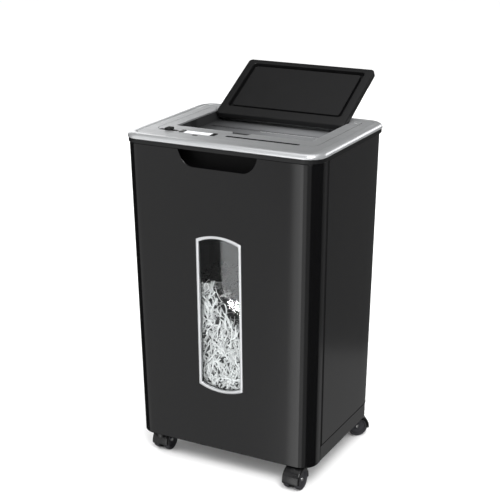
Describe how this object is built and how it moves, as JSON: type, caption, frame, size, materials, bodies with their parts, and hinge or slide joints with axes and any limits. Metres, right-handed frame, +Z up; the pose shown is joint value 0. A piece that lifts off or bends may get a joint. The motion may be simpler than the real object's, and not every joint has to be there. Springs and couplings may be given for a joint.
{
  "type": "paper shredder",
  "caption": "Deskside paper shredder: tapered cabinet on swivel casters, pull-out waste drawer with window, hinged feed cover over a tray, card slot.",
  "frame": {"origin": "on the floor, under the middle of the head", "axes": "+Z up, +X to the right, -Y to the front, where the drawer opens"},
  "size_m": [0.345, 0.346, 0.6306],
  "materials": {
    "charcoal": "satin charcoal",
    "black": "fine matt black",
    "grey": "matt grey",
    "silver": "silver painted, satin",
    "frost": "frosted white",
    "pane": "clear, lightly tinted",
    "tub": "matt dark grey",
    "steel": "machined",
    "rubber": "matt",
    "gear_plastic": "natural nylon",
    "board": "green laminate"
  },
  "bodies": {
    "cabinet": {"side_panel_left": "charcoal", "side_panel_right": "charcoal", "rear_panel": "charcoal", "base": "black", "head_housing": "black", "power_inlet": "black", "card_guide": "black", "slider_bed": "black", "status_led": "black", "feed_tray": "grey", "interlock_switch": "grey", "rim": "silver", "deck": "silver", "service_plug": "silver", "indicator_lens": "frost", "chassis": "steel", "cutter_plate_left": "steel", "cutter_plate_right": "steel", "motor": "steel", "comb_front": "steel", "comb_rear": "steel", "head_shelf_left": "steel", "head_shelf_right": "steel", "drawer_rail_left": "steel", "drawer_rail_right": "steel", "control_board": "board"},
    "drawer": {"drawer_front": "charcoal", "window_frame": "silver", "window_pane": "pane", "handle_pocket": "black", "bin_tub": "tub", "interlock_tab": "black"},
    "cover": {"feed_cover": "black", "pressure_plate": "black", "hinge_pin_left": "steel", "hinge_pin_right": "steel"},
    "slider": {"power_slider": "black"},
    "reverse_key": {"button_reverse": "black"},
    "forward_key": {"button_forward": "black"},
    "front_cutter": {"cutter_shaft_front": "steel", "sync_gear_front": "steel"},
    "rear_cutter": {"cutter_shaft_rear": "steel", "sync_gear_rear": "steel", "drive_gear": "steel", "feed_drive_gear": "gear_plastic"},
    "compound": {"compound_gear": "gear_plastic"},
    "motor_rotor": {"motor_pinion": "steel"},
    "feed_roller": {"feed_shaft": "steel", "feed_gear": "gear_plastic", "feed_tyre_left": "rubber", "feed_tyre_right": "rubber"},
    "pinch": {"pinch_roller": "rubber"},
    "swivel_front_left": {"caster_hood_front_left": "black"},
    "wheels_front_left": {"caster_wheels_front_left": "rubber"},
    "swivel_front_right": {"caster_hood_front_right": "black"},
    "wheels_front_right": {"caster_wheels_front_right": "rubber"},
    "swivel_rear_left": {"caster_hood_rear_left": "black"},
    "wheels_rear_left": {"caster_wheels_rear_left": "rubber"},
    "swivel_rear_right": {"caster_hood_rear_right": "black"},
    "wheels_rear_right": {"caster_wheels_rear_right": "rubber"}
  },
  "joints": [
    {"name": "drawer_slide", "type": "slide", "parent": "cabinet", "child": "drawer", "axis": [0, -1, 0], "range_m": [0, 0.22]},
    {"name": "cover_hinge", "type": "hinge", "parent": "cabinet", "child": "cover", "pos_m": [0, 0.0883, 0.5575], "axis": [1, 0, 0], "range_deg": [0, 150.8]},
    {"name": "power_slide", "type": "slide", "parent": "cabinet", "child": "slider", "axis": [1, 0, 0], "range_m": [-0.008, 0.008]},
    {"name": "reverse_press", "type": "slide", "parent": "cabinet", "child": "reverse_key", "axis": [0, 0, -1], "range_m": [0, 0.0015], "stiffness_N_per_m": 300, "springref_m": -0.001},
    {"name": "forward_press", "type": "slide", "parent": "cabinet", "child": "forward_key", "axis": [0, 0, -1], "range_m": [0, 0.0015], "stiffness_N_per_m": 300, "springref_m": -0.001},
    {"name": "rear_cutter_spin", "type": "hinge", "parent": "cabinet", "child": "rear_cutter", "pos_m": [0, 0.0065, 0.497], "axis": [1, 0, 0], "continuous": true},
    {"name": "front_cutter_spin", "type": "hinge", "parent": "cabinet", "child": "front_cutter", "pos_m": [0, -0.0265, 0.497], "axis": [1, 0, 0], "continuous": true},
    {"name": "compound_spin", "type": "hinge", "parent": "cabinet", "child": "compound", "pos_m": [0, 0.0495, 0.497], "axis": [1, 0, 0], "continuous": true},
    {"name": "motor_spin", "type": "hinge", "parent": "cabinet", "child": "motor_rotor", "pos_m": [0, 0.07349, 0.48462], "axis": [1, 0, 0], "continuous": true},
    {"name": "feed_roller_spin", "type": "hinge", "parent": "cabinet", "child": "feed_roller", "pos_m": [0, 0.03594, 0.528], "axis": [1, 0, 0], "continuous": true},
    {"name": "pinch_spin", "type": "hinge", "parent": "cabinet", "child": "pinch", "pos_m": [0, 0.05184, 0.528], "axis": [1, 0, 0], "continuous": true},
    {"name": "swivel_front_left_turn", "type": "hinge", "parent": "cabinet", "child": "swivel_front_left", "pos_m": [-0.13, -0.1045, 0], "axis": [0, 0, 1], "continuous": true},
    {"name": "wheels_front_left_roll", "type": "hinge", "parent": "swivel_front_left", "child": "wheels_front_left", "pos_m": [-0.13, -0.0925, 0.0175], "axis": [-1, 0, 0], "continuous": true},
    {"name": "swivel_front_right_turn", "type": "hinge", "parent": "cabinet", "child": "swivel_front_right", "pos_m": [0.13, -0.1045, 0], "axis": [0, 0, 1], "continuous": true},
    {"name": "wheels_front_right_roll", "type": "hinge", "parent": "swivel_front_right", "child": "wheels_front_right", "pos_m": [0.13, -0.1165, 0.0175], "axis": [1, 0, 0], "continuous": true},
    {"name": "swivel_rear_left_turn", "type": "hinge", "parent": "cabinet", "child": "swivel_rear_left", "pos_m": [-0.13, 0.103, 0], "axis": [0, 0, 1], "continuous": true},
    {"name": "wheels_rear_left_roll", "type": "hinge", "parent": "swivel_rear_left", "child": "wheels_rear_left", "pos_m": [-0.13, 0.115, 0.0175], "axis": [-1, 0, 0], "continuous": true},
    {"name": "swivel_rear_right_turn", "type": "hinge", "parent": "cabinet", "child": "swivel_rear_right", "pos_m": [0.13, 0.103, 0], "axis": [0, 0, 1], "continuous": true},
    {"name": "wheels_rear_right_roll", "type": "hinge", "parent": "swivel_rear_right", "child": "wheels_rear_right", "pos_m": [0.1396, 0.1102, 0.0175], "axis": [-0.6004, 0.7997, 0], "continuous": true}
  ],
  "couplings": [
    {"joint": "front_cutter_spin", "follows": "rear_cutter_spin", "ratio": -1},
    {"joint": "compound_spin", "follows": "rear_cutter_spin", "ratio": -3.7778},
    {"joint": "motor_spin", "follows": "rear_cutter_spin", "ratio": 13.222},
    {"joint": "feed_roller_spin", "follows": "rear_cutter_spin", "ratio": -0.9},
    {"joint": "pinch_spin", "follows": "rear_cutter_spin", "ratio": 1.4727}
  ]
}
